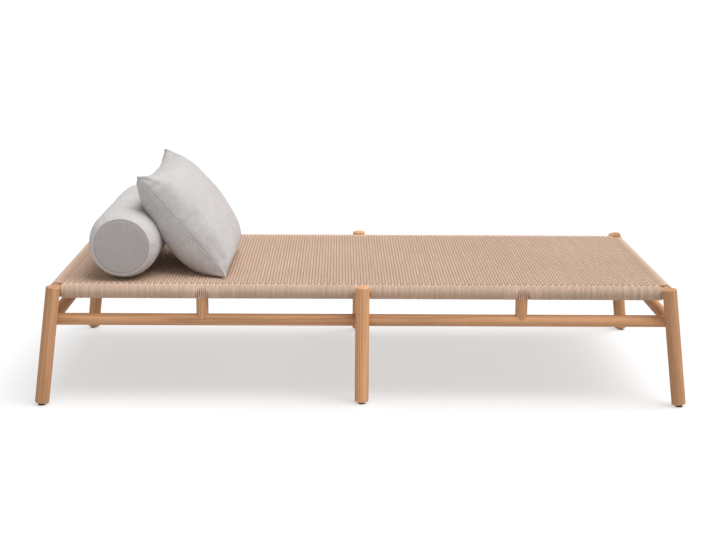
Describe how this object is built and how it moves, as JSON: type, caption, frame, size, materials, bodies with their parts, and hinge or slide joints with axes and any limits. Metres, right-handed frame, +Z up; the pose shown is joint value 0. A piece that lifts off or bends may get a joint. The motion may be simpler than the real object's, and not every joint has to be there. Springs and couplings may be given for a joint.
{
  "type": "daybed",
  "caption": "Low teak daybed on splayed round legs, with a woven cord seat, a loose bolster and a square pillow.",
  "frame": {"origin": "on the floor, under the middle of the seat", "axes": "+Z up, +X along the length towards the foot end, +Y towards the rear long side; the bolster and pillow are at -X"},
  "size_m": [2.0607, 0.9006, 0.7178],
  "materials": {
    "teak": "oiled, satin",
    "cord": "twisted cord, matt",
    "glide_moulding": "moulded, matt black",
    "screw_steel": "zinc plated",
    "bolster_cloth": "plain woven, matt",
    "pillow_cloth": "plain woven, matt",
    "filling": "soft filling in a plain case"
  },
  "bodies": {
    "frame": {"front_left_cord_wrap": "cord", "front_left_glide": "glide_moulding", "front_left_leg": "teak", "front_left_spindle": "teak", "front_middle_glide": "glide_moulding", "front_middle_leg": "teak", "front_right_cord_wrap": "cord", "front_right_glide": "glide_moulding", "front_right_leg": "teak", "front_right_spindle": "teak", "front_stretcher": "teak", "front_top_rail": "teak", "glide_screws": "screw_steel", "left_cord_wrap": "cord", "left_cross_rail": "teak", "left_cross_stretcher": "teak", "middle_cross_rail": "teak", "middle_cross_stretcher": "teak", "rear_left_cord_wrap": "cord", "rear_left_glide": "glide_moulding", "rear_left_leg": "teak", "rear_left_spindle": "teak", "rear_middle_glide": "glide_moulding", "rear_middle_leg": "teak", "rear_right_cord_wrap": "cord", "rear_right_glide": "glide_moulding", "rear_right_leg": "teak", "rear_right_spindle": "teak", "rear_stretcher": "teak", "rear_top_rail": "teak", "right_cord_wrap": "cord", "right_cross_rail": "teak", "right_cross_stretcher": "teak", "seat_weave": "cord"},
    "bolster": {"bolster_cover": "bolster_cloth", "bolster_filling": "filling"},
    "pillow": {"pillow_cover": "pillow_cloth", "pillow_filling": "filling"}
  },
  "joints": [
    {"name": "bolster_lift", "type": "slide", "parent": "frame", "child": "bolster", "axis": [-0.958, 0, 0.2868], "range_m": [0, 0.42]},
    {"name": "pillow_lift", "type": "slide", "parent": "frame", "child": "pillow", "axis": [0, 0, 1], "range_m": [0, 0.35]}
  ]
}
